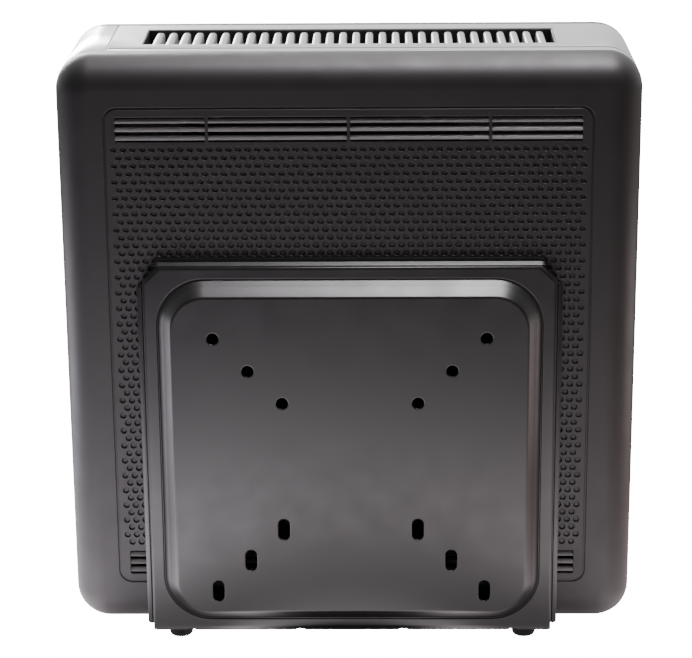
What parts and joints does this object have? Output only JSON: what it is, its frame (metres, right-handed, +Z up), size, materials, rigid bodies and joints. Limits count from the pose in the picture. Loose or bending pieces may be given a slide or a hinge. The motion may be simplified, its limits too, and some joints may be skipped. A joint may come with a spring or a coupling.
{
  "type": "mini pc",
  "caption": "Small desktop computer standing on edge, with soft-edged side covers, a silver band with a finned top vent, and an embossed steel VESA bracket.",
  "frame": {"origin": "on the floor under the middle of the object, at the undersides of the feet", "axes": "+Z up along the case's height, +X from the front bezel to the rear connectors, +Y from the bracket to the access side cover"},
  "size_m": [0.212, 0.0874, 0.2255],
  "materials": {
    "cover_plastic": "fine moulded texture, satin",
    "band_plastic": "satin silver paint",
    "bezel_plastic": "satin silver paint",
    "gloss_insert": "high gloss",
    "button_metal": "spun",
    "clear_plastic": "clear",
    "circuit_board": "solder resist",
    "connector_steel": "tin plated",
    "black_plastic": "moulded",
    "natural_plastic": "moulded",
    "zinc_steel": "zinc plated",
    "brass": "turned",
    "aluminium": "bare",
    "processor_metal": "nickel plated",
    "dark_aluminium": "anodised",
    "ferrite": "pressed",
    "red_cable": "cable jacket",
    "black_cable": "cable jacket",
    "bracket_paint": "fine powder coat, satin",
    "rubber": "moulded"
  },
  "bodies": {
    "case": {"vesa_side_cover": "cover_plastic", "access_side_cover": "cover_plastic", "case_band": "band_plastic", "front_bezel": "bezel_plastic", "front_panel_insert": "gloss_insert", "status_light_pipes": "clear_plastic", "front_io_board": "circuit_board", "front_usb_ports": "connector_steel", "front_audio_jacks": "black_plastic", "power_switch": "black_plastic", "front_board_screws": "zinc_steel", "chassis_frame": "zinc_steel", "frame_screws": "zinc_steel", "board_standoffs": "brass", "board_screws": "zinc_steel", "mainboard": "circuit_board", "io_shield": "connector_steel", "rear_usb_ports": "connector_steel", "lan_jack": "connector_steel", "video_ports": "connector_steel", "rear_audio_jacks": "black_plastic", "cpu_socket": "zinc_steel", "cpu": "processor_metal", "heatsink": "aluminium", "cooler_screws": "zinc_steel", "fan_frame": "black_plastic", "fan_screws": "zinc_steel", "memory_sockets": "black_plastic", "memory_modules": "circuit_board", "board_power_socket": "natural_plastic", "board_power_plug": "black_plastic", "cpu_power_socket": "black_plastic", "sata_sockets": "black_plastic", "pin_headers": "black_plastic", "pcie_slot": "black_plastic", "chipset_heatsink": "dark_aluminium", "battery_holder": "black_plastic", "cmos_battery": "processor_metal", "power_inductors": "ferrite", "power_capacitors": "aluminium", "power_board": "circuit_board", "power_board_parts": "ferrite", "dc_jack": "black_plastic", "dc_jack_nut": "zinc_steel", "ssd": "dark_aluminium", "drive_bracket": "zinc_steel", "drive_screws": "zinc_steel", "sata_cable": "red_cable", "board_power_cable": "black_cable", "front_panel_cable": "black_cable", "fan_lead": "black_cable", "dc_lead": "red_cable", "vesa_bracket": "bracket_paint", "bracket_screws": "zinc_steel", "rubber_feet": "rubber"},
    "button": {"power_button": "button_metal"},
    "fan": {"fan_rotor": "black_plastic"}
  },
  "joints": [
    {"name": "power_button_press", "type": "slide", "parent": "case", "child": "button", "axis": [1, 0, 0], "range_m": [0, 0.0012], "stiffness_N_per_m": 400, "springref_m": -0.002},
    {"name": "fan_spin", "type": "hinge", "parent": "case", "child": "fan", "pos_m": [0.022, 0.0275, 0.12], "axis": [0, 1, 0], "continuous": true}
  ]
}
